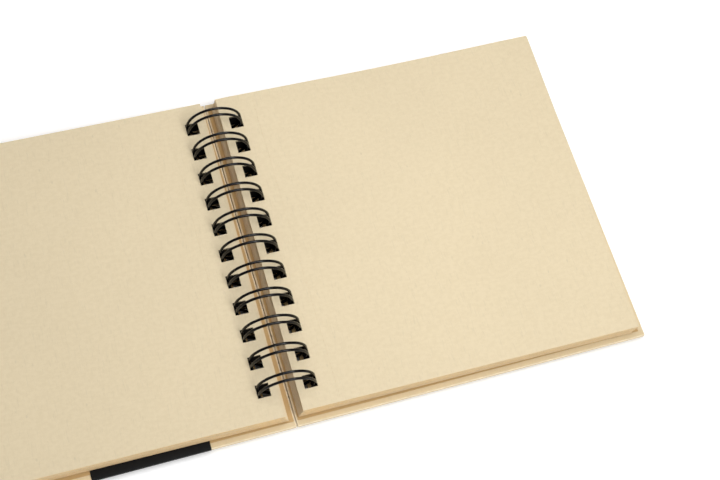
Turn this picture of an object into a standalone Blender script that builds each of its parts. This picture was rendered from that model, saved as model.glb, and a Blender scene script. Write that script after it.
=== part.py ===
"""A square, hard-covered sketchbook bound on a twin-loop wire, lying open at its middle.

Frame: +X across the open book towards the back cover, +Y along the spine towards the
head, +Z up.  The origin is on the surface the book lies on, under the middle of the wire.
Every cover and leaf turns about the axis of the wire's loops.
"""

import math

import bmesh
import bpy

MM = 0.001

# Wire binding: one length of wire, bent into pairs of wires that close into rings.
LOOP_COUNT = 11
LOOP_PITCH = 12.7 * MM
WIRE_DIAMETER = 1.2 * MM
RING_OUTSIDE_DIAMETER = 25.4 * MM
TWIN_SPACING = 3.2 * MM          # between the two wires of one loop
BEND_RADIUS = 1.0 * MM           # where a loop turns into the bar along the spine
TIP_GAP = 1.5 * MM               # from a loop's closed tip to the line of the bars
WIRE_TAIL = 2.0 * MM             # straight end of the wire past the first and last loop
LOOP_SKEW = -0.032               # how far the loops are out of square with the spine
RING_SEGMENTS = 16
TIP_SEGMENTS = 6
BEND_SEGMENTS = 3

# Punched holes.
HOLE_LENGTH = 5.9 * MM           # along the spine; clears the loops with a sheet turned over
SHEET_HOLE_WIDTH = 5.7 * MM      # across the spine
COVER_HOLE_WIDTH = 6.2 * MM
HOLE_CLEARANCE = 0.2 * MM        # from a hole's outer edge to the outside of the ring

# Sheets: 6 in square, fifty of them in two stacks, and number 1 of each stack on top.
SHEET_SIDE = 152.4 * MM
SHEETS_PER_STACK = 25
LOOSE_LEAVES = 3                 # sheets of each stack that turn one at a time
SHEET_GAP = 0.06 * MM
SPINE_MARGIN = 3.4 * MM          # from a sheet's spine edge to its holes
SHEET_LEAN = 0.22                # how far each sheet lies in from the one above, per unit of height
OPEN_PAGE_HEIGHT = 12.35 * MM    # of the drawing face that the book lies open at
LEFT_SLIDE = -0.2 * MM           # how far towards the head each stack lies
RIGHT_SLIDE = 0.5 * MM
RIGHT_TURN = math.radians(0.3)   # how far the right sheets' outlines are turned from the hole row
COVER_TO_SHEETS = 0.3 * MM

# Covers: greyboard in a paper wrap, with a liner pasted over the turned-in edges.
COVER_WIDTH = 160.0 * MM
COVER_HEIGHT = 158.75 * MM
COVER_UNDERSIDE = 2.05 * MM
COVER_SPINE_GAP = 0.3 * MM       # between the two covers
COVER_SKEW = math.radians(0.75)  # how far the covers' outline is turned from the hole row
WRAP_THICKNESS = 0.2 * MM
PASTE_GAP = 0.03 * MM
BOARD_THICKNESS = 1.5 * MM
TURN_IN = 15.0 * MM
LINER_THICKNESS = 0.2 * MM
LINER_GAP = 0.04 * MM
LINER_INSET = 2.5 * MM
LINER_SPINE_INSET = 0.8 * MM

# Label: a blank band folded over the front cover's foot edge.
LABEL_LENGTH = 50.0 * MM
LABEL_MIDDLE_X = -62.0 * MM
LABEL_THICKNESS = 0.12 * MM
LABEL_GAP = 0.05 * MM
LABEL_INNER_FLAP = 15.0 * MM
LABEL_OUTER_FLAP = 60.0 * MM

WIRE_RADIUS = WIRE_DIAMETER / 2
RING_OUTSIDE_RADIUS = RING_OUTSIDE_DIAMETER / 2
RING_RADIUS = RING_OUTSIDE_RADIUS - WIRE_RADIUS
AXIS_HEIGHT = RING_OUTSIDE_RADIUS

WRAP_HEIGHT = 2 * WRAP_THICKNESS + 2 * PASTE_GAP + BOARD_THICKNESS
LINER_BOTTOM = COVER_UNDERSIDE + WRAP_HEIGHT + LINER_GAP
COVER_TOP = LINER_BOTTOM + LINER_THICKNESS
SHEET_PITCH = (OPEN_PAGE_HEIGHT - COVER_TOP - COVER_TO_SHEETS + SHEET_GAP) / SHEETS_PER_STACK
SHEET_THICKNESS = SHEET_PITCH - SHEET_GAP

LEFT = -1
RIGHT = 1
STACK_SLIDE = {LEFT: LEFT_SLIDE, RIGHT: RIGHT_SLIDE}
STACK_TURN = {LEFT: 0.0, RIGHT: RIGHT_TURN}


# ---------------------------------------------------------------- scene and materials

def clear_scene():
    for old in list(bpy.data.objects):
        bpy.data.objects.remove(old, do_unlink=True)


def new_collection(name):
    collection = bpy.data.collections.new(name)
    bpy.context.scene.collection.children.link(collection)
    return collection


def linear(channel):
    """One sRGB channel, 0 to 255, as a linear value."""
    value = channel / 255
    return value / 12.92 if value <= 0.04045 else ((value + 0.055) / 1.055) ** 2.4


def material(name, rgb, roughness, metallic=0.0):
    made = bpy.data.materials.new(name)
    made.use_nodes = True
    shader = made.node_tree.nodes["Principled BSDF"]
    shader.inputs["Base Color"].default_value = (*map(linear, rgb), 1.0)
    shader.inputs["Roughness"].default_value = roughness
    shader.inputs["Metallic"].default_value = metallic
    return made


# ---------------------------------------------------------------- shapes

def rectangle(x0, x1, y0, y1, turn=0.0):
    """The corners of a rectangle, turned about the origin."""
    cos = math.cos(turn)
    sin = math.sin(turn)
    corners = [(x0, y0), (x1, y0), (x1, y1), (x0, y1)]
    return [(x * cos - y * sin, x * sin + y * cos) for x, y in corners]


def flat_curve(name, outlines, thickness):
    """A filled 2D curve: the first outline is the edge and the others are holes in it."""
    curve = bpy.data.curves.new(name, "CURVE")
    curve.dimensions = "2D"
    curve.fill_mode = "BOTH"
    curve.extrude = thickness / 2
    for outline in outlines:
        spline = curve.splines.new("POLY")
        spline.points.add(len(outline) - 1)
        for point, (x, y) in zip(spline.points, outline):
            point.co = (x, y, 0.0, 1.0)
        spline.use_cyclic_u = True
    return bpy.data.objects.new(name, curve)


def curve_to_mesh(source):
    """A mesh object that takes a curve object's place, its caps welded on."""
    name = source.name
    evaluated = source.evaluated_get(bpy.context.evaluated_depsgraph_get())
    mesh = bpy.data.meshes.new_from_object(evaluated)
    welded = bmesh.new()
    welded.from_mesh(mesh)
    bmesh.ops.remove_doubles(welded, verts=welded.verts, dist=0.001 * MM)
    welded.to_mesh(mesh)
    welded.free()
    collection = source.users_collection[0]
    parent = source.parent
    location = source.location.copy()
    bpy.data.objects.remove(source, do_unlink=True)
    made = bpy.data.objects.new(name, mesh)
    made.parent = parent
    made.location = location
    collection.objects.link(made)
    return made


def box_cutter(name, corners, bottom, top, hinge):
    """A box on the rectangle whose corners are given, kept as a guide and not as a part."""
    solid = flat_curve(name, [corners], top - bottom)
    cutters.objects.link(solid)
    solid.parent = hinge
    solid.location.z = (bottom + top) / 2 - AXIS_HEIGHT
    bpy.context.view_layer.update()
    cutter = curve_to_mesh(solid)
    cutter.hide_render = True
    cutter.display_type = "WIRE"
    return cutter


def cut(target, cutter):
    boolean = target.modifiers.new(cutter.name, "BOOLEAN")
    boolean.operation = "DIFFERENCE"
    boolean.object = cutter


def sheet(name, outlines, bottom, thickness, hinge, finish):
    """A flat piece with its underside at the height given, hung from its hinge."""
    piece = flat_curve(name, outlines, thickness)
    book.objects.link(piece)
    piece.parent = hinge
    piece.location.z = bottom + thickness / 2 - AXIS_HEIGHT
    piece.data.materials.append(finish)
    return piece


def axis_empty(name, parent):
    """An empty on the wire's axis, which the pieces of one moving body hang from."""
    empty = bpy.data.objects.new(name, None)
    empty.empty_display_size = 10 * MM
    book.objects.link(empty)
    empty.parent = parent
    return empty


def loop_centres():
    middle = (LOOP_COUNT - 1) / 2
    return [(k - middle) * LOOP_PITCH for k in range(LOOP_COUNT)]


def ring_reach(top):
    """How far out the holes of a piece must reach to clear the ring; top is its upper face."""
    reach = RING_OUTSIDE_RADIUS + HOLE_CLEARANCE
    return math.sqrt(reach ** 2 - (AXIS_HEIGHT - top) ** 2)


def hole_row(side, outer, width):
    """The outlines of one piece's holes, in line with the loops where they pass through it."""
    half = HOLE_LENGTH / 2
    shift = LOOP_SKEW * side * (outer - width / 2)
    return [
        rectangle(side * (outer - width), side * outer, y + shift - half, y + shift + half)
        for y in loop_centres()
    ]


# ---------------------------------------------------------------- wire binding

def wire_point(along, y):
    """A point of the wire: how far round the ring from its lowest line, and where in Y."""
    angle = along / RING_RADIUS
    x = RING_RADIUS * math.sin(angle)
    return (x, y + LOOP_SKEW * x, -RING_RADIUS * math.cos(angle))


def arc(centre_along, centre_y, radius, start, sweep, segments):
    """Points of a bend, on the unrolled ring; angles are in degrees from the round-the-ring way."""
    points = []
    for step in range(segments + 1):
        angle = math.radians(start + sweep * step / segments)
        along = centre_along + radius * math.cos(angle)
        points.append((along, centre_y + radius * math.sin(angle)))
    return points


def loop_path(y):
    """One loop on the unrolled ring: out along one wire, round the tip, and back."""
    half = TWIN_SPACING / 2
    tip = 2 * math.pi * RING_RADIUS - TIP_GAP - half
    run = [BEND_RADIUS + (tip - BEND_RADIUS) * k / RING_SEGMENTS for k in range(1, RING_SEGMENTS)]
    bend_in = arc(BEND_RADIUS, y - half - BEND_RADIUS, BEND_RADIUS, 180, -90, BEND_SEGMENTS)
    round_tip = arc(tip, y, half, -90, 180, TIP_SEGMENTS)
    bend_out = arc(BEND_RADIUS, y + half + BEND_RADIUS, BEND_RADIUS, 270, -90, BEND_SEGMENTS)
    outward = [(along, y - half) for along in run]
    back = [(along, y + half) for along in reversed(run)]
    return bend_in + outward + round_tip + back + bend_out


def wire_path():
    centres = loop_centres()
    reach = TWIN_SPACING / 2 + BEND_RADIUS + WIRE_TAIL
    path = [(0.0, centres[0] - reach)]
    for y in centres:
        path += loop_path(y)
    path.append((0.0, centres[-1] + reach))
    return [wire_point(along, y) for along, y in path]


def make_wire():
    curve = bpy.data.curves.new("wire_binding", "CURVE")
    curve.dimensions = "3D"
    curve.bevel_depth = WIRE_RADIUS
    curve.bevel_resolution = 1
    curve.use_fill_caps = True
    path = wire_path()
    spline = curve.splines.new("POLY")
    spline.points.add(len(path) - 1)
    for point, place in zip(spline.points, path):
        point.co = (*place, 1.0)
    spline.use_smooth = True
    wire = bpy.data.objects.new("wire_binding", curve)
    wire.parent = binding_axis
    book.objects.link(wire)
    curve.materials.append(black_wire)


# ---------------------------------------------------------------- covers

def cover_outline(side, inset, spine_inset):
    """A cover's rectangle, drawn in from its edges, and turned by the skew."""
    edge = COVER_SPINE_GAP / 2
    near = side * (edge + spine_inset)
    far = side * (edge + COVER_WIDTH - inset)
    half = COVER_HEIGHT / 2 - inset
    return rectangle(near, far, -half, half, COVER_SKEW)


def make_cover(name, side, hinge):
    holes = hole_row(side, ring_reach(COVER_TOP), COVER_HOLE_WIDTH)
    board_bottom = COVER_UNDERSIDE + WRAP_THICKNESS + PASTE_GAP
    board_inset = WRAP_THICKNESS + PASTE_GAP

    outline = cover_outline(side, board_inset, board_inset)
    sheet(f"{name}_board", [outline, *holes], board_bottom, BOARD_THICKNESS, hinge, greyboard)

    outline = cover_outline(side, LINER_INSET, LINER_SPINE_INSET)
    sheet(f"{name}_liner", [outline, *holes], LINER_BOTTOM, LINER_THICKNESS, hinge, liner_paper)

    outline = cover_outline(side, 0.0, 0.0)
    block = sheet(f"{name}_cover_wrap", [outline, *holes], COVER_UNDERSIDE, WRAP_HEIGHT, hinge, wrap_paper)
    bpy.context.view_layer.update()
    wrap = curve_to_mesh(block)
    pocket = cover_outline(side, WRAP_THICKNESS, WRAP_THICKNESS)
    window = cover_outline(side, TURN_IN, TURN_IN)
    pocket_bottom = COVER_UNDERSIDE + WRAP_THICKNESS
    pocket_top = COVER_UNDERSIDE + WRAP_HEIGHT - WRAP_THICKNESS
    window_top = COVER_UNDERSIDE + WRAP_HEIGHT + WRAP_THICKNESS
    cut(wrap, box_cutter(f"{name}_wrap_pocket", pocket, pocket_bottom, pocket_top, hinge))
    cut(wrap, box_cutter(f"{name}_wrap_window", window, board_bottom, window_top, hinge))


def make_label(hinge):
    """The band's U-shaped section, drawn in Y and Z and extruded along X."""
    edge = -COVER_HEIGHT / 2 - LABEL_GAP
    top = COVER_TOP + LABEL_GAP - AXIS_HEIGHT
    bottom = COVER_UNDERSIDE - LABEL_GAP - AXIS_HEIGHT
    inner_end = edge + LABEL_INNER_FLAP
    outer_end = edge + LABEL_OUTER_FLAP
    section = [
        (outer_end, bottom - LABEL_THICKNESS),
        (outer_end, bottom),
        (edge, bottom),
        (edge, top),
        (inner_end, top),
        (inner_end, top + LABEL_THICKNESS),
        (edge - LABEL_THICKNESS, top + LABEL_THICKNESS),
        (edge - LABEL_THICKNESS, bottom - LABEL_THICKNESS),
    ]
    label = flat_curve("foot_label", [section], LABEL_LENGTH)
    book.objects.link(label)
    label.parent = hinge
    label.location.x = LABEL_MIDDLE_X * math.cos(COVER_SKEW)
    label.location.y = LABEL_MIDDLE_X * math.sin(COVER_SKEW)
    label.rotation_euler = (math.pi / 2, 0.0, math.pi / 2 + COVER_SKEW)
    label.data.materials.append(black_paper)


# ---------------------------------------------------------------- sheets

def make_sheet(name, side, number, hinge):
    """A sheet of drawing paper, leaning in towards the spine as far as the ring lets it."""
    depth = (number - 1) * SHEET_PITCH
    top = OPEN_PAGE_HEIGHT - depth
    leaning = ring_reach(OPEN_PAGE_HEIGHT) - SHEET_LEAN * depth
    outer = max(ring_reach(top), leaning)
    spine_edge = outer - SHEET_HOLE_WIDTH - SPINE_MARGIN
    foot = STACK_SLIDE[side] - SHEET_SIDE / 2
    head = STACK_SLIDE[side] + SHEET_SIDE / 2
    fore_edge = spine_edge + SHEET_SIDE
    outline = rectangle(side * spine_edge, side * fore_edge, foot, head, STACK_TURN[side])
    holes = hole_row(side, outer, SHEET_HOLE_WIDTH)
    sheet(name, [outline, *holes], top - SHEET_THICKNESS, SHEET_THICKNESS, hinge, kraft_paper)


def make_stack(name, side, cover_hinge):
    """The sheets that lie together, then the loose leaves, each hung from the one below it."""
    hinge = axis_empty(f"{name}_pages_axis", cover_hinge)
    for number in range(SHEETS_PER_STACK, 0, -1):
        if number <= LOOSE_LEAVES:
            hinge = axis_empty(f"{name}_leaf_{number}_axis", hinge)
        make_sheet(f"{name}_sheet_{number:02d}", side, number, hinge)


# ---------------------------------------------------------------- assembly

clear_scene()
book = new_collection("sketchbook")
cutters = new_collection("cutters")

black_wire = material("black_wire", (22, 21, 20), 0.35)
greyboard = material("greyboard", (150, 133, 108), 0.9)
wrap_paper = material("wrap_paper", (222, 200, 166), 0.8)
liner_paper = material("liner_paper", (225, 198, 152), 0.85)
kraft_paper = material("kraft_paper", (233, 217, 181), 0.9)
black_paper = material("black_paper", (24, 25, 26), 0.6)

binding_axis = axis_empty("binding_axis", None)
binding_axis.location.z = AXIS_HEIGHT
front_hinge = axis_empty("front_cover_axis", binding_axis)
back_hinge = axis_empty("back_cover_axis", binding_axis)

make_wire()
make_cover("front", LEFT, front_hinge)
make_cover("back", RIGHT, back_hinge)
make_label(front_hinge)
make_stack("left", LEFT, front_hinge)
make_stack("right", RIGHT, back_hinge)
bpy.context.view_layer.update()
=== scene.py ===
"""The finished look of the open sketchbook: fine meshes, paper and wire materials, light and camera."""
import math
import random

import bmesh
import bpy
from mathutils import Matrix, Vector


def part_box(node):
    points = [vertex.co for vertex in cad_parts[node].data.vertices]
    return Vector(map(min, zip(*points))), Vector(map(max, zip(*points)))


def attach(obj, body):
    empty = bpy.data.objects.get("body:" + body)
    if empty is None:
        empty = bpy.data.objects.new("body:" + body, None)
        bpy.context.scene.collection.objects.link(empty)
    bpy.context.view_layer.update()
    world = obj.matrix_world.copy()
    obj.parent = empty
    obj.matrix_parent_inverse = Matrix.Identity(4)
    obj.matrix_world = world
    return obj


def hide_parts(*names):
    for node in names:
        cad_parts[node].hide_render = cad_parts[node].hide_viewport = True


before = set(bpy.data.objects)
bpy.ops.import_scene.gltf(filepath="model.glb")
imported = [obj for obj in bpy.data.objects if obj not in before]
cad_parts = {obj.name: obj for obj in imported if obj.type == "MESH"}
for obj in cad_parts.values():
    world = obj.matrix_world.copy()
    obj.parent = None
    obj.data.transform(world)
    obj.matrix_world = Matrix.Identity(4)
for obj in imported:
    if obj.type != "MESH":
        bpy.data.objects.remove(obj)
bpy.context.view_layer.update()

MM = 0.001

# The wire and its holes, as in the frame.
LOOP_COUNT = 11
LOOP_PITCH = 12.7 * MM
TWIN_SPACING = 3.2 * MM            # between the two wires of one loop
BEND_RADIUS = 1.0 * MM             # where a loop turns into the bar along the spine
TIP_GAP = 1.5 * MM                 # from a loop's closed tip to the line of the bars
WIRE_TAIL = 2.0 * MM               # straight end past the first and last loop
WIRE_DIAMETER = 1.2 * MM
AXIS_HEIGHT = 12.7 * MM            # of the line the loops, leaves and covers turn about
LOOP_SKEW = -0.032                 # how far the loops are out of square with the spine
HOLE_WIDTH = 5.7 * MM              # across the spine
HOLE_LENGTH = 5.9 * MM             # along the spine
SPINE_MARGIN = 3.4 * MM            # from a sheet's spine edge to its holes

# The sheets, as in the frame; number 1 of each stack is on top.
SHEET_SIDE = 152.4 * MM
SHEETS_PER_STACK = 25
LOOSE_LEAVES = 3                   # sheets of each stack that turn one at a time
STACK_TURN = {"left": 0.0, "right": math.radians(0.3)}
SIDE_SIGN = {"left": -1, "right": 1}

# The covers and the label, as in the frame.
COVER_GAP_HALF = 0.15 * MM
COVER_WIDTH = 160.0 * MM
COVER_HEIGHT = 158.75 * MM
COVER_SKEW = math.radians(0.75)
COVER_SIDE = {"front": "left", "back": "right"}
TURN_IN = 15.0 * MM
LABEL_LENGTH = 50.0 * MM
LABEL_MIDDLE_X = -62.0 * MM
LABEL_THICKNESS = 0.12 * MM
LABEL_GAP = 0.05 * MM
LABEL_INNER_FLAP = 15.0 * MM
LABEL_OUTER_FLAP = 60.0 * MM

OPEN, SLIT, PLAIN, RIM = range(4)  # what a cell of a sheet's grid is
SURFACE, CUT, PAINTED_SHADE = range(3)    # the order of a sheet's materials

LOOP_CENTRES = [(k - (LOOP_COUNT - 1) / 2) * LOOP_PITCH for k in range(LOOP_COUNT)]


# ---------------------------------------------------------------- node helpers

class Nodes:
    """A short way to write a material's node tree."""

    def __init__(self, name):
        self.material = bpy.data.materials.new(name)
        self.material.use_nodes = True
        self.tree = self.material.node_tree
        self.shader = self.tree.nodes["Principled BSDF"]
        self.place = self.add("ShaderNodeTexCoord").outputs["Object"]

    def add(self, kind, **settings):
        node = self.tree.nodes.new(kind)
        for key, value in settings.items():
            setattr(node, key, value)
        return node

    def feed(self, socket, value):
        if isinstance(value, bpy.types.NodeSocket):
            self.tree.links.new(value, socket)
        else:
            socket.default_value = value

    def stretched(self, scale, turn=0.0):
        """The piece's own coordinates, scaled along each axis and turned about Z."""
        mapping = self.add("ShaderNodeMapping")
        self.feed(mapping.inputs["Vector"], self.place)
        mapping.inputs["Scale"].default_value = scale
        mapping.inputs["Rotation"].default_value = (0.0, 0.0, turn)
        return mapping.outputs["Vector"]

    def noise(self, scale, detail, roughness, vector=None):
        node = self.add("ShaderNodeTexNoise")
        self.feed(node.inputs["Vector"], vector or self.place)
        node.inputs["Scale"].default_value = scale
        node.inputs["Detail"].default_value = detail
        node.inputs["Roughness"].default_value = roughness
        return node.outputs["Fac"]

    def voronoi(self, scale, vector):
        node = self.add("ShaderNodeTexVoronoi")
        self.feed(node.inputs["Vector"], vector)
        node.inputs["Scale"].default_value = scale
        return node.outputs["Distance"], node.outputs["Color"]

    def span(self, value, low, high, to_low=0.0, to_high=1.0):
        """value, taken smoothly from low..high to to_low..to_high and held there outside."""
        node = self.add("ShaderNodeMapRange", interpolation_type="SMOOTHSTEP")
        self.feed(node.inputs["Value"], value)
        for key, number in (("From Min", low), ("From Max", high), ("To Min", to_low), ("To Max", to_high)):
            node.inputs[key].default_value = number
        return node.outputs["Result"]

    def math(self, operation, a, b=0.0):
        node = self.add("ShaderNodeMath", operation=operation)
        self.feed(node.inputs[0], a)
        self.feed(node.inputs[1], b)
        return node.outputs[0]

    def mix(self, factor, a, b, blend="MIX"):
        node = self.add("ShaderNodeMix", data_type="RGBA", blend_type=blend)
        self.feed(node.inputs["Factor"], factor)
        for socket, colour in ((node.inputs[6], a), (node.inputs[7], b)):
            self.feed(socket, colour if isinstance(colour, bpy.types.NodeSocket) else (*colour, 1.0))
        return node.outputs[2]

    def bump(self, height, strength, distance, below=None):
        node = self.add("ShaderNodeBump")
        node.inputs["Strength"].default_value = strength
        node.inputs["Distance"].default_value = distance
        self.feed(node.inputs["Height"], height)
        if below is not None:
            self.feed(node.inputs["Normal"], below)
        return node.outputs["Normal"]

    def finish(self, colour, roughness, normal=None, **fixed):
        """The material, with its looks fed to the shader; fixed goes on the shader's own sockets."""
        self.feed(self.shader.inputs["Base Color"], colour)
        self.feed(self.shader.inputs["Roughness"], roughness)
        if normal is not None:
            self.feed(self.shader.inputs["Normal"], normal)
        for key, value in fixed.items():
            self.shader.inputs[key.replace("_", " ")].default_value = value
        return self.material


def linear(red, green, blue):
    """An sRGB colour, 0 to 255, as linear numbers, by the sRGB standard's curve."""
    shares = (channel / 255 for channel in (red, green, blue))
    return tuple(s / 12.92 if s <= 0.04045 else ((s + 0.055) / 1.055) ** 2.4 for s in shares)


def shade(colour, factor):
    """A colour made lighter or darker."""
    return tuple(channel * factor for channel in colour)


# ---------------------------------------------------------------- materials

PAPER_MOTTLE = 0.012               # how far paper's cloudy look-through goes either way
PAPER_FLECK = 0.16                 # how strong its rare dark flecks are
FLOCK_TINT = (0.965, 0.957, 0.94)
ALONG_FIBRE = 260.0                # noise scale along a fibre, and across it
ACROSS_FIBRE = 2600.0


def paper(name, colour, fibre):
    """Toned paper: a faint cloudy look-through, crossed fibres, rare dark flecks and a felt surface."""
    n = Nodes(name)
    cloud = n.span(n.noise(18.0, 3.0, 0.5), 0.3, 0.7)
    tone = n.mix(cloud, shade(colour, 1 - PAPER_MOTTLE), shade(colour, 1 + PAPER_MOTTLE))
    flock = n.span(n.noise(420.0, 3.0, 0.6, n.stretched((1.0, 1.6, 1.0), 0.2)), 0.35, 0.65)
    tone = n.mix(flock, tone, n.mix(1.0, tone, FLOCK_TINT, "MULTIPLY"))
    fibres = []
    for turn, scale in ((0.35, 1.0), (1.25, 1.7), (2.3, 0.8)):
        thread = n.noise(scale, 2.0, 0.5, n.stretched((ACROSS_FIBRE, ALONG_FIBRE, ACROSS_FIBRE), turn))
        fibres.append(n.span(thread, 0.58, 0.72))
    light = n.math("MAXIMUM", fibres[0], fibres[1])
    tone = n.mix(n.math("MULTIPLY", light, fibre), tone, shade(colour, 1.22))
    tone = n.mix(n.math("MULTIPLY", fibres[2], fibre * 1.4), tone, shade(colour, 0.62))
    distance, cell = n.voronoi(520.0, n.stretched((1.0, 0.55, 1.0), 0.8))
    chosen = n.add("ShaderNodeSeparateColor")
    n.feed(chosen.inputs["Color"], cell)
    rare = n.span(chosen.outputs["Red"], 0.975, 0.985)
    speck = n.math("MULTIPLY", n.span(distance, 0.30, 0.08), rare)
    tone = n.mix(n.math("MULTIPLY", speck, PAPER_FLECK), tone, shade(colour, 0.45))
    felt = n.noise(1500.0, 4.0, 0.65)
    normal = n.bump(felt, 0.5, 0.05 * MM)
    normal = n.bump(light, 0.35, 0.03 * MM, normal)
    roughness = n.span(felt, 0.3, 0.7, 0.82, 0.95)
    return n.finish(tone, roughness, normal, Specular_IOR_Level=0.25, Sheen_Weight=0.04)


def cut_edge(name, colour):
    """The cut edge of paper: rough, with fibres torn along the cut."""
    n = Nodes(name)
    strand = n.noise(1.0, 3.0, 0.6, n.stretched((420.0, 420.0, 5200.0)))
    speck = n.noise(1900.0, 3.0, 0.6)
    tone = n.mix(n.span(strand, 0.35, 0.65), shade(colour, 0.84), shade(colour, 1.10))
    tone = n.mix(n.span(speck, 0.55, 0.75, 0.0, 0.35), tone, shade(colour, 0.70))
    normal = n.bump(strand, 0.5, 0.06 * MM)
    return n.finish(tone, 0.93, normal, Specular_IOR_Level=0.2)


def cover_paper(name, colour, spot_strength):
    """The wrap: a harder, smoother paper, lighter in spots where spot_strength is more than nothing."""
    n = Nodes(name)
    cloud = n.span(n.noise(34.0, 4.0, 0.6), 0.3, 0.7)
    tone = n.mix(cloud, shade(colour, 0.98), shade(colour, 1.02))
    threads = [
        n.noise(1.0, 3.0, 0.55, n.stretched(scale, 0.12))
        for scale in ((1900.0, 200.0, 1900.0), (200.0, 1900.0, 1900.0))
    ]
    cross = n.math("MAXIMUM", *threads)
    tone = n.mix(n.span(cross, 0.56, 0.72, 0.0, 0.22), tone, shade(colour, 0.72))
    lighter_spots = n.span(n.noise(330.0, 4.0, 0.7), 0.35, 0.65, 0.0, spot_strength)
    tone = n.mix(lighter_spots, tone, shade(colour, 1.22))
    normal = n.bump(cross, 0.35, 0.04 * MM)
    normal = n.bump(n.noise(1100.0, 3.0, 0.6), 0.3, 0.03 * MM, normal)
    roughness = n.span(cross, 0.3, 0.7, 0.66, 0.82)
    return n.finish(tone, roughness, normal, Specular_IOR_Level=0.35)


def greyboard(name, colour):
    """Pulp board, in layers, with coarse grey and brown specks."""
    n = Nodes(name)
    layer = n.noise(1.0, 3.0, 0.6, n.stretched((300.0, 300.0, 6000.0)))
    tone = n.mix(n.span(layer, 0.35, 0.65), shade(colour, 0.82), shade(colour, 1.12))
    tone = n.mix(n.span(n.noise(1300.0, 2.0, 0.5), 0.58, 0.7, 0.0, 0.5), tone, shade(colour, 0.55))
    normal = n.bump(layer, 0.6, 0.08 * MM)
    return n.finish(tone, 0.95, normal, Specular_IOR_Level=0.15)


def black_label_paper(name, colour, scuff_and_highlight):
    """Black paper with a thin satin film, lighter in flecks by so much: a little stands for scuffs, more
    for a painted highlight.
    """
    n = Nodes(name)
    cloud = n.noise(60.0, 4.0, 0.6)
    tone = n.mix(n.span(cloud, 0.35, 0.65), shade(colour, 0.8), shade(colour, 1.25))
    scuff_and_highlight_mask = n.span(n.noise(700.0, 4.0, 0.7), 0.45, 0.7, 0.0, scuff_and_highlight)
    tone = n.mix(scuff_and_highlight_mask, tone, shade(colour, 5.0))
    fine = n.noise(1700.0, 3.0, 0.6)
    normal = n.bump(fine, 0.3, 0.02 * MM)
    roughness = n.span(cloud, 0.3, 0.7, 0.55, 0.68)
    return n.finish(tone, roughness, normal, Specular_IOR_Level=0.16)


def black_wire_coat(name, colour):
    """Nylon-coated steel wire: glossy black, with a fine orange-peel bump and faint rubbed spots."""
    n = Nodes(name)
    orange_peel = n.noise(1400.0, 3.0, 0.5)
    lighter_spots = n.span(n.noise(310.0, 4.0, 0.7), 0.60, 0.74)
    tone = n.mix(n.math("MULTIPLY", lighter_spots, 0.4), colour, shade(colour, 3.5))
    normal = n.bump(orange_peel, 0.25, 0.02 * MM)
    roughness = n.span(lighter_spots, 0.0, 1.0, 0.16, 0.36)
    return n.finish(tone, roughness, normal, Specular_IOR_Level=0.26)


page_paper = paper("drawing_paper", linear(222, 206, 174), fibre=0.10)
# The cut edges: darker and warmer than the faces, partly the cut fibres' own tone and partly painted shade
# of the stacked edges and the gutter.
page_edge = cut_edge("drawing_paper_edge", linear(224, 190, 139))
# Near black: painted shade on the walls of the punched holes and round the holes of the sheets inside a
# stack, where the holes lie in deep shade.
hole_painted_shade = cut_edge("punched_edge_painted_shade", linear(20, 15, 11))
wrap_paper = cover_paper("cover_wrap", linear(216, 197, 160), spot_strength=0.0)
# The rounded edges: lighter than the flat wrap, in tone and in spots.
wrap_fold = cover_paper("cover_wrap_fold", linear(222, 207, 178), spot_strength=0.5)
# Toned darker than the pages: the liner's tan with painted shade of the gutter and of the margins beside
# the stacks.
liner_paper = paper("liner_paper", linear(192, 160, 112), fibre=0.08)
board = greyboard("greyboard", linear(150, 133, 108))
label_paper = black_label_paper("label_paper", linear(11, 11, 12), scuff_and_highlight=0.02)
# The fold round the cover's foot edge: lighter flecks as a painted highlight on the band's own black.
label_fold_highlight = black_label_paper("label_fold_highlight", linear(12, 13, 13), scuff_and_highlight=0.12)
wire_coat = black_wire_coat("wire_coat", linear(7, 6, 6))


# ---------------------------------------------------------------- mesh helpers

WELD_DISTANCE = 0.001 * MM
SHORTEST_STEP = 0.02 * MM          # between two grid lines


def new_piece(name, mesh, *materials):
    """An object whose faces keep the material numbers that they were made with."""
    numbers = [0] * len(mesh.polygons)
    mesh.polygons.foreach_get("material_index", numbers)
    mesh.materials.clear()
    for material in materials:
        mesh.materials.append(material)
    mesh.polygons.foreach_set("material_index", numbers)
    piece = bpy.data.objects.new(name, mesh)
    bpy.context.scene.collection.objects.link(piece)
    return piece


def smooth(mesh, degrees):
    """Shades a mesh smooth, but sharp at edges that turn by more than so many degrees."""
    mesh.shade_smooth()
    mesh.set_sharp_from_angle(angle=math.radians(degrees))


def even_normals(source):
    """Keeps wide flat faces evenly lit beside small rounded ones."""
    even = source.modifiers.new("even_normals", "WEIGHTED_NORMAL")
    even.keep_sharp = True
    even.weight = 100


def evaluated_mesh(source):
    """The mesh that an object has once its modifiers, or a curve's bevel, are applied."""
    bpy.context.view_layer.update()
    evaluated = source.evaluated_get(bpy.context.evaluated_depsgraph_get())
    return bpy.data.meshes.new_from_object(evaluated)


def tidy_mesh(mesh):
    """Joins the loose caps and faces of a mesh, and turns its faces outwards."""
    welded = bmesh.new()
    welded.from_mesh(mesh)
    bmesh.ops.remove_doubles(welded, verts=welded.verts, dist=WELD_DISTANCE)
    bmesh.ops.recalc_face_normals(welded, faces=welded.faces)
    welded.to_mesh(mesh)
    welded.free()


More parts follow.
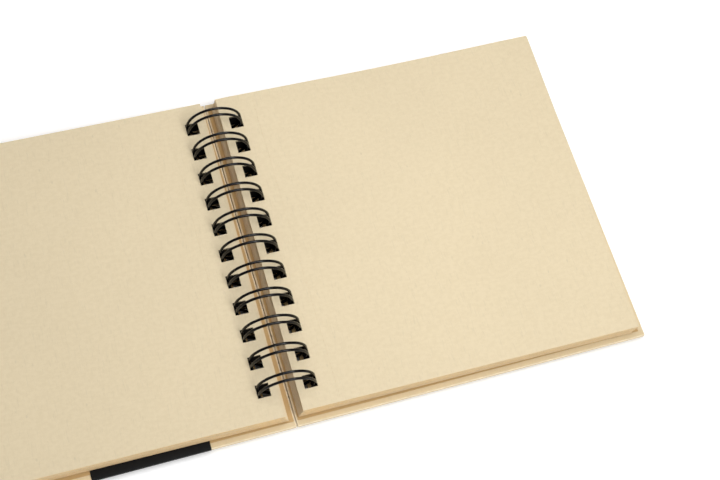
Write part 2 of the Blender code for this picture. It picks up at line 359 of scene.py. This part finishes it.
def plate(name, xs, ys, kind, heights, shift):
    """A thin plate on a grid of lines; kind says what each cell is, and shift moves each point.

    heights are its bottom and top.  Plain cells are of the surface material, the outer edge and
    the slits' walls of the cut one, and rims and the walls of openings of the painted-shade one.
    """
    cells = [(i, j) for i in range(len(xs) - 1) for j in range(len(ys) - 1)]
    kinds = {cell: kind(*cell) for cell in cells}
    solid = {cell: what for cell, what in kinds.items() if what in (PLAIN, RIM)}
    plate_mesh = bmesh.new()
    corners = {}

    def corner(i, j, level):
        key = (i, j, level)
        if key not in corners:
            corners[key] = plate_mesh.verts.new(shift(xs[i], ys[j], heights[level]))
        return corners[key]

    def face(keys, material):
        plate_mesh.faces.new([corner(*key) for key in keys]).material_index = material

    for (i, j), what in solid.items():
        ring = [(i, j), (i + 1, j), (i + 1, j + 1), (i, j + 1)]
        # Rim cells are painted shade.
        material = PAINTED_SHADE if what == RIM else SURFACE
        face([(a, b, 1) for a, b in ring], material)
        face([(a, b, 0) for a, b in reversed(ring)], material)
        beyond = [(i, j - 1), (i + 1, j), (i, j + 1), (i - 1, j)]
        for k, neighbour in enumerate(beyond):
            if neighbour in solid:
                continue
            (a, b), (c, d) = ring[k], ring[(k + 1) % 4]
            # Walls that face a hole are painted shade; the outer edge and the slits' walls are cut edge.
            material = PAINTED_SHADE if kinds.get(neighbour) == OPEN else CUT
            face([(a, b, 0), (c, d, 0), (c, d, 1), (a, b, 1)], material)
    mesh = bpy.data.meshes.new(name)
    plate_mesh.to_mesh(mesh)
    plate_mesh.free()
    return mesh


def lines(marks, step):
    """Grid lines through the marks, with further lines between them no more than a step apart."""
    marks = sorted(marks)
    out = [marks[0]]
    for low, high in zip(marks, marks[1:]):
        if high - low < SHORTEST_STEP:
            continue
        parts = max(1, math.ceil((high - low) / step))
        out += [low + (high - low) * k / parts for k in range(1, parts + 1)]
    return out


# ---------------------------------------------------------------- sheets

SHEET_SEED = 11
PERFORATION_INSET = 16.5 * MM      # of the tear line, from a sheet's spine edge
SLIT_LENGTH = 0.9 * MM
SLIT_PITCH = 2.1 * MM
SLIT_WIDTH = 0.05 * MM
TOP_STEP = 3.0 * MM                # between the grid lines of a loose leaf, and of the other sheets
STACK_STEP = 12.0 * MM
HEAD_SAG = 0.95 * MM               # of the right stack's top sheet, along its head edge
FOOT_SAG = 0.45 * HEAD_SAG         # of the left stack's top sheet, along its foot edge
CORNER_LIFT = 0.6 * MM             # of the right stack's far head corner
WAVE_DEPTH = 0.22 * MM
SHEET_TURN = math.radians(0.09)    # the most that one sheet is turned and slid in its stack
SHEET_SLIP = 0.16 * MM
SQUARE_BAND = 10.0 * MM            # beyond the holes, over which a sheet's outline takes up its turn
# The rim is a band of painted shade round the holes of the sheets inside a stack.
RIM_WIDTH = 1.3 * MM               # of the shaded paper round the holes of the sheets inside a stack
SHEET_SHARP = 40                   # degrees past which an edge is shaded sharp


def bell(value, middle, width):
    """1 where value is at the middle, falling off on both sides."""
    return math.exp(-((value - middle) / width) ** 2)


def relief(side, number, across, along):
    """How far a sheet stands from flat; across is 0 at the spine to 1, along is -1 at the foot to 1.

    Sheets under the top one follow it less and less, so that they don't cross.
    """
    share = (SHEETS_PER_STACK - number) / (SHEETS_PER_STACK - 1)
    wave = math.sin(4.1 * across + 1.9 * along) * math.sin(3.3 * along - 1.2 * across + SIDE_SIGN[side])
    down = WAVE_DEPTH * (0.5 + 0.5 * wave) * min(1.0, 3.0 * across)
    up = 0.0
    if side == "right":
        down += HEAD_SAG * bell(across, 0.55, 0.30) * max(0.0, along) ** 2
        up = CORNER_LIFT * max(0.0, (across + along - 1.35) / 0.65) ** 2
    else:
        down += FOOT_SAG * bell(across, 0.6, 0.35) * max(0.0, -along) ** 2
    return share * (up - down)


def make_sheet(side, number, body, chance):
    """One punched sheet; the first few of a stack have a tear line of slits."""
    node = f"{side}_sheet_{number:02d}"
    low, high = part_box(node)
    middle = (low + high) / 2
    sign = SIDE_SIGN[side]
    spine = sign * middle.x - SHEET_SIDE / 2
    slide = middle.y - STACK_TURN[side] * middle.x
    foot = slide - SHEET_SIDE / 2
    head = slide + SHEET_SIDE / 2
    loose = number <= LOOSE_LEAVES
    inner = LOOSE_LEAVES + 1 < number < SHEETS_PER_STACK
    hole = (SPINE_MARGIN, SPINE_MARGIN + HOLE_WIDTH)
    row_shift = LOOP_SKEW * sign * (spine + sum(hole) / 2)
    holes = [centre + row_shift for centre in LOOP_CENTRES]
    x_marks = [0.0, *hole, SHEET_SIDE]
    y_marks = [foot, head]
    for centre in holes:
        y_marks += [centre - HOLE_LENGTH / 2, centre + HOLE_LENGTH / 2]
    # Sheets inside a stack get a rim of painted shade round each hole.
    if inner:
        x_marks += [hole[0] - RIM_WIDTH, hole[1] + RIM_WIDTH]
        for centre in holes:
            y_marks += [centre - HOLE_LENGTH / 2 - RIM_WIDTH, centre + HOLE_LENGTH / 2 + RIM_WIDTH]
    slits = []
    if loose:
        x_marks += [PERFORATION_INSET - SLIT_WIDTH / 2, PERFORATION_INSET + SLIT_WIDTH / 2]
        count = int(SHEET_SIDE / SLIT_PITCH) - 1
        slits = [slide + (k - (count - 1) / 2) * SLIT_PITCH for k in range(count)]
        for centre in slits:
            y_marks += [centre - SLIT_LENGTH / 2, centre + SLIT_LENGTH / 2]
    step = TOP_STEP if loose else STACK_STEP
    xs = lines(x_marks, step)
    ys = lines(y_marks, step)
    turn = chance.uniform(-SHEET_TURN, SHEET_TURN)
    slip = chance.uniform(-SHEET_SLIP, SHEET_SLIP)

    def near_hole(x, y, margin):
        beside = hole[0] - margin < x < hole[1] + margin
        return beside and any(abs(y - centre) < HOLE_LENGTH / 2 + margin for centre in holes)

    def in_slit(x, y):
        beside = abs(x - PERFORATION_INSET) < SLIT_WIDTH / 2
        return beside and any(abs(y - centre) < SLIT_LENGTH / 2 for centre in slits)

    def kind(i, j):
        x = (xs[i] + xs[i + 1]) / 2
        y = (ys[j] + ys[j + 1]) / 2
        if near_hole(x, y, 0.0):
            return OPEN
        if in_slit(x, y):
            return SLIT
        return RIM if inner and near_hole(x, y, RIM_WIDTH) else PLAIN

    def shift(x, y, z):
        """The point's place on the book; the hole row stays where the loops are."""
        beyond = (hole[0] - x) / hole[0] if x < hole[0] else (x - hole[1]) / SQUARE_BAND
        share = min(1.0, max(0.0, beyond))
        flat_x = sign * (spine + x)
        placed_x = flat_x - share * (turn + STACK_TURN[side]) * y
        placed_y = y + share * (slip + (turn + STACK_TURN[side]) * flat_x)
        across = x / SHEET_SIDE
        along = 2 * (y - foot) / SHEET_SIDE - 1
        return (placed_x, placed_y, z + relief(side, number, across, along))

    mesh = plate(node, xs, ys, kind, (low.z, high.z), shift)
    tidy_mesh(mesh)
    smooth(mesh, SHEET_SHARP)
    piece = new_piece(f"{side}_page_{number:02d}", mesh, page_paper, page_edge, hole_painted_shade)
    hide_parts(node)
    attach(piece, body)


def make_stacks():
    """Both stacks, each sheet on the body that turns it."""
    chance = random.Random(SHEET_SEED)
    for side in ("left", "right"):
        for number in range(1, SHEETS_PER_STACK + 1):
            body = f"{side}_leaf_{number}" if number <= LOOSE_LEAVES else f"{side}_pages"
            make_sheet(side, number, body, chance)


# ---------------------------------------------------------------- wire binding

WIRE_SEED = 5
LOOP_WANDER = 0.02 * MM            # the most that one loop is off its place along the spine
RING_STEPS = 72
BEND_STEPS = 8
TIP_STEPS = 16
WIRE_ROUNDNESS = 4
WIRE_SHARP = 60                    # degrees past which an edge is shaded sharp


def arc(centre_along, centre_y, radius, start, sweep, steps):
    """Points on an arc of the flattened wire; angles are in degrees."""
    points = []
    for step in range(steps + 1):
        angle = math.radians(start + sweep * step / steps)
        points.append((centre_along + radius * math.cos(angle), centre_y + radius * math.sin(angle)))
    return points


def make_wire():
    """The whole wire: drawn flat, as distances round the ring and along the spine, then rolled up."""
    radius = AXIS_HEIGHT - WIRE_DIAMETER / 2
    half = TWIN_SPACING / 2
    tip = 2 * math.pi * radius - TIP_GAP - half
    run = [BEND_RADIUS + (tip - BEND_RADIUS) * k / RING_STEPS for k in range(1, RING_STEPS)]
    chance = random.Random(WIRE_SEED)
    path = [(0.0, LOOP_CENTRES[0] - half - BEND_RADIUS - WIRE_TAIL)]
    for centre in LOOP_CENTRES:
        y = centre + chance.uniform(-LOOP_WANDER, LOOP_WANDER)
        path += arc(BEND_RADIUS, y - half - BEND_RADIUS, BEND_RADIUS, 180, -90, BEND_STEPS)
        path += [(along, y - half) for along in run]
        path += arc(tip, y, half, -90, 180, TIP_STEPS)
        path += [(along, y + half) for along in reversed(run)]
        path += arc(BEND_RADIUS, y + half + BEND_RADIUS, BEND_RADIUS, 270, -90, BEND_STEPS)
    path.append((0.0, LOOP_CENTRES[-1] + half + BEND_RADIUS + WIRE_TAIL))
    curve = bpy.data.curves.new("wire", "CURVE")
    curve.dimensions = "3D"
    curve.bevel_depth = WIRE_DIAMETER / 2
    curve.bevel_resolution = WIRE_ROUNDNESS
    curve.use_fill_caps = True
    spline = curve.splines.new("POLY")
    spline.points.add(len(path) - 1)
    for point, (along, y) in zip(spline.points, path):
        angle = along / radius
        x = radius * math.sin(angle)
        point.co = (x, y + LOOP_SKEW * x, AXIS_HEIGHT - radius * math.cos(angle), 1.0)
    source = bpy.data.objects.new("wire", curve)
    bpy.context.scene.collection.objects.link(source)
    mesh = evaluated_mesh(source)
    bpy.data.objects.remove(source)
    tidy_mesh(mesh)
    smooth(mesh, WIRE_SHARP)
    piece = new_piece("twin_loop_wire", mesh, wire_coat)
    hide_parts("wire_binding")
    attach(piece, "wire")


# ---------------------------------------------------------------- covers

COVER_ENDS = (COVER_GAP_HALF, COVER_GAP_HALF + COVER_WIDTH)    # from the spine line
EDGE_ROUNDING = 0.45 * MM
ROUNDING_STEPS = 5
FLAT_ANGLE = math.radians(0.5)     # below this, faces that meet are one flat face
CORNER_ANGLE = math.radians(45)    # above this, an outline edge is rounded
OUTLINE_REACH = 0.02 * MM
MITRE_WIDTH = 0.14 * MM
MITRE_DEPTH = 0.09 * MM
MITRE_END_GAP = 1.0 * MM           # from a mitre's inner end to the turn-ins' inner corner
WRAP_SHARP = 30                    # degrees past which an edge is shaded sharp


def cover_place(x, y, z):
    """A point given square to the covers, as it lies on the book."""
    return Matrix.Rotation(COVER_SKEW, 4, "Z") @ Vector((x, y, z))


def on_outline(vertex):
    """Whether a wrap's point is on the outside of its edge."""
    square = Matrix.Rotation(-COVER_SKEW, 4, "Z") @ vertex.co
    at_side = any(abs(abs(square.x) - end) < OUTLINE_REACH for end in COVER_ENDS)
    return at_side or abs(abs(square.y) - COVER_HEIGHT / 2) < OUTLINE_REACH


def mitre_cutter(side, top):
    """Four thin bars that score the folded corners of the turn-ins."""
    sign = SIDE_SIGN[side]
    cutter = bmesh.new()
    length = TURN_IN * math.sqrt(2) - MITRE_END_GAP
    for x, inwards in zip(COVER_ENDS, (1, -1)):
        for up in (-1, 1):
            angle = math.atan2(-up, sign * inwards)
            start = cover_place(sign * x, up * COVER_HEIGHT / 2, top)
            middle = Vector((length / 2, 0.0, 0.0))
            place = Matrix.Translation(start) @ Matrix.Rotation(COVER_SKEW + angle, 4, "Z")
            size = Matrix.Diagonal((length, MITRE_WIDTH, 2 * MITRE_DEPTH, 1.0))
            bmesh.ops.create_cube(cutter, size=1.0, matrix=place @ Matrix.Translation(middle) @ size)
    mesh = bpy.data.meshes.new("mitre_cutter")
    cutter.to_mesh(mesh)
    cutter.free()
    return bpy.data.objects.new("mitre_cutter", mesh)


def make_wrap(name):
    """The cover's wrap with rounded edges and folded corners."""
    node = f"{name}_cover_wrap"
    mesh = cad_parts[node].data.copy()
    shell = bmesh.new()
    shell.from_mesh(mesh)
    bmesh.ops.remove_doubles(shell, verts=shell.verts, dist=WELD_DISTANCE)
    bmesh.ops.dissolve_limit(shell, angle_limit=FLAT_ANGLE, verts=shell.verts, edges=shell.edges)
    outer = [
        edge for edge in shell.edges
        if len(edge.link_faces) == 2
        and edge.calc_face_angle(0.0) > CORNER_ANGLE
        and all(on_outline(vertex) for vertex in edge.verts)
    ]
    bmesh.ops.bevel(
        shell,
        geom=outer,
        offset=EDGE_ROUNDING,
        segments=ROUNDING_STEPS,
        profile=0.5,
        affect="EDGES",
        material=1,
    )
    bmesh.ops.triangulate(shell, faces=shell.faces)
    shell.to_mesh(mesh)
    shell.free()
    source = new_piece("wrap_source", mesh, wrap_paper, wrap_fold)
    cutter = mitre_cutter(COVER_SIDE[name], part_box(node)[1].z)
    bpy.context.scene.collection.objects.link(cutter)
    score = source.modifiers.new("score", "BOOLEAN")
    score.operation = "DIFFERENCE"
    score.object = cutter
    scored = evaluated_mesh(source)
    smooth(scored, WRAP_SHARP)
    source.modifiers.clear()
    source.data = scored
    even_normals(source)
    made = evaluated_mesh(source)
    for each in (source, cutter):
        bpy.data.objects.remove(each)
    piece = new_piece(f"{name}_wrap", made, wrap_paper, wrap_fold)
    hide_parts(node)
    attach(piece, f"{name}_cover")


# ---------------------------------------------------------------- label

LABEL_BEND = 0.62 * MM             # radius of the fold's two bends, at the band's middle line
BEND_ARC_STEPS = 8
INNER_FLAP_STEPS = 10
OUTER_FLAP_STEPS = 20
LABEL_COLUMNS = 20
LABEL_SHARP = 50                   # degrees past which an edge is shaded sharp


def label_profile(upper, lower):
    """The band's middle line: in over the cover, round its foot edge, and back out under it."""
    edge = -COVER_HEIGHT / 2 - LABEL_GAP - LABEL_THICKNESS / 2
    inner_end = edge + LABEL_INNER_FLAP
    outer_end = edge + LABEL_OUTER_FLAP
    centre = edge + LABEL_BEND
    line = []
    for k in range(INNER_FLAP_STEPS):
        line.append((inner_end + (centre - inner_end) * k / INNER_FLAP_STEPS, upper))
    for middle, start in ((upper - LABEL_BEND, 90), (lower + LABEL_BEND, 180)):
        for k in range(BEND_ARC_STEPS + 1):
            angle = math.radians(start + 90 * k / BEND_ARC_STEPS)
            line.append((centre + LABEL_BEND * math.cos(angle), middle + LABEL_BEND * math.sin(angle)))
    for k in range(1, OUTER_FLAP_STEPS + 1):
        line.append((centre + (outer_end - centre) * k / OUTER_FLAP_STEPS, lower))
    return line


def label_strip(profile):
    """The band without its thickness, with its fold in the second material, which carries a painted
    highlight.
    """
    strip = bmesh.new()
    grid = []
    for k in range(LABEL_COLUMNS + 1):
        x = LABEL_MIDDLE_X + LABEL_LENGTH * (k / LABEL_COLUMNS - 0.5)
        grid.append([strip.verts.new(cover_place(x, y, z)) for y, z in profile])
    fold = range(INNER_FLAP_STEPS, INNER_FLAP_STEPS + 2 * BEND_ARC_STEPS + 1)
    for left, right in zip(grid, grid[1:]):
        for j in range(len(profile) - 1):
            face = strip.faces.new((left[j], left[j + 1], right[j + 1], right[j]))
            face.material_index = 1 if j in fold else 0
    mesh = bpy.data.meshes.new("foot_band")
    strip.to_mesh(mesh)
    strip.free()
    return mesh


def make_label():
    """The folded band, as a strip round its middle line and thickened both ways."""
    low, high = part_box("foot_label")
    profile = label_profile(high.z - LABEL_THICKNESS / 2, low.z + LABEL_THICKNESS / 2)
    source = new_piece("label_source", label_strip(profile), label_paper, label_fold_highlight)
    solid = source.modifiers.new("thickness", "SOLIDIFY")
    solid.thickness = LABEL_THICKNESS
    solid.offset = 0.0
    mesh = evaluated_mesh(source)
    bpy.data.objects.remove(source)
    tidy_mesh(mesh)
    smooth(mesh, LABEL_SHARP)
    piece = new_piece("foot_band", mesh, label_paper, label_fold_highlight)
    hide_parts("foot_label")
    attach(piece, "front_cover")


# ---------------------------------------------------------------- boards and liners

def finish_cad_nodes():
    """Materials for the nodes whose shape is kept."""
    for name in ("front", "back"):
        for node, material in ((f"{name}_board", board), (f"{name}_liner", liner_paper)):
            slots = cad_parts[node].data.materials
            slots.clear()
            slots.append(material)


# ---------------------------------------------------------------- stage, light and camera

WHITE = (1.0, 1.0, 1.0)
FLOOR_HALF = 12.0
FLOOR_TONES = ((0.945, 0.945, 0.945), (0.96, 0.96, 0.96))
GLOW = 0.36                        # of the floor, clear of the open book
GLOW_RISE = 30.0 * MM              # distance over which the glow sets in
DARK_HALF_X = 150.0 * MM           # the floor under the open book, which has no glow
DARK_HALF_Y = 68.0 * MM
WORLD_STRENGTH = 0.29
# Each lamp's name, place, point it aims at, size and power.
LAMPS = (
    ("key", (0.80, -0.80, 1.50), (0.03, 0.0, 0.0), 0.7, 12.4),
    ("fill", (0.1, -1.2, 1.0), (0.0, 0.0, 0.0), 1.2, 4.0),
    ("overhead", (0.085, 0.0, 0.40), (0.085, 0.02, 0.0), 0.28, 0.89),
)
CAMERA_AZIMUTH = math.radians(-28.33)
CAMERA_ELEVATION = math.radians(65.14)
CAMERA_ROLL = math.radians(13.45)
CAMERA_DISTANCE = 0.612
CAMERA_TARGET = Vector((0.0486, -0.00652, 0.01235))
CAMERA_LENS = 69.5
CAMERA_SENSOR = 36.0
CAMERA_NEAR = 10.0 * MM


def make_floor():
    """A plain pale floor, lit from within away from the book so that it renders white."""
    mesh = bpy.data.meshes.new("floor")
    corners = [(-1, -1), (1, -1), (1, 1), (-1, 1)]
    mesh.from_pydata([(x * FLOOR_HALF, y * FLOOR_HALF, 0.0) for x, y in corners], [], [(0, 1, 2, 3)])
    n = Nodes("floor")
    cloud = n.span(n.noise(3.0, 2.0, 0.5), 0.3, 0.7)
    tone = n.mix(cloud, *FLOOR_TONES)
    place = n.add("ShaderNodeSeparateXYZ")
    n.feed(place.inputs["Vector"], n.place)
    past_sides = n.math("SUBTRACT", n.math("ABSOLUTE", place.outputs["X"]), DARK_HALF_X)
    past_ends = n.math("SUBTRACT", n.math("ABSOLUTE", place.outputs["Y"]), DARK_HALF_Y)
    past = n.math("MAXIMUM", past_sides, past_ends)
    n.feed(n.shader.inputs["Emission Strength"], n.span(past, 0.0, GLOW_RISE, 0.0, GLOW))
    material = n.finish(tone, 0.8, Specular_IOR_Level=0.1, Emission_Color=(*WHITE, 1.0))
    new_piece("floor", mesh, material)


def area_light(name, place, aim, size, power):
    """A soft white square lamp that the camera doesn't see."""
    light = bpy.data.lights.new(name, "AREA")
    light.shape = "SQUARE"
    light.size = size
    light.energy = power
    lamp = bpy.data.objects.new(name, light)
    lamp.location = place
    lamp.rotation_euler = (Vector(aim) - Vector(place)).to_track_quat("-Z", "Y").to_euler()
    lamp.visible_camera = False
    bpy.context.scene.collection.objects.link(lamp)


def make_light():
    """A plain white studio: an even surround and the lamps."""
    world = bpy.data.worlds.new("studio")
    world.use_nodes = True
    background = world.node_tree.nodes["Background"]
    background.inputs["Color"].default_value = (*WHITE, 1.0)
    background.inputs["Strength"].default_value = WORLD_STRENGTH
    bpy.context.scene.world = world
    for lamp in LAMPS:
        area_light(*lamp)
    bpy.context.scene.view_settings.view_transform = "Standard"


def make_camera():
    """The camera, rolled about the way it looks."""
    level = math.cos(CAMERA_ELEVATION)
    back = Vector((
        math.sin(CAMERA_AZIMUTH) * level,
        -math.cos(CAMERA_AZIMUTH) * level,
        math.sin(CAMERA_ELEVATION),
    ))
    right = Vector((0.0, 0.0, 1.0)).cross(back).normalized()
    up = back.cross(right)
    basis = Matrix((right, up, back)).transposed().to_4x4()
    turned = basis @ Matrix.Rotation(CAMERA_ROLL, 4, "Z")
    data = bpy.data.cameras.new("camera")
    data.lens = CAMERA_LENS
    data.sensor_width = CAMERA_SENSOR
    data.clip_start = CAMERA_NEAR
    camera = bpy.data.objects.new("camera", data)
    camera.matrix_world = Matrix.Translation(CAMERA_TARGET + back * CAMERA_DISTANCE) @ turned
    bpy.context.scene.collection.objects.link(camera)
    bpy.context.scene.camera = camera


make_stacks()
make_wire()
make_wrap("front")
make_wrap("back")
make_label()
finish_cad_nodes()
make_floor()
make_light()
make_camera()
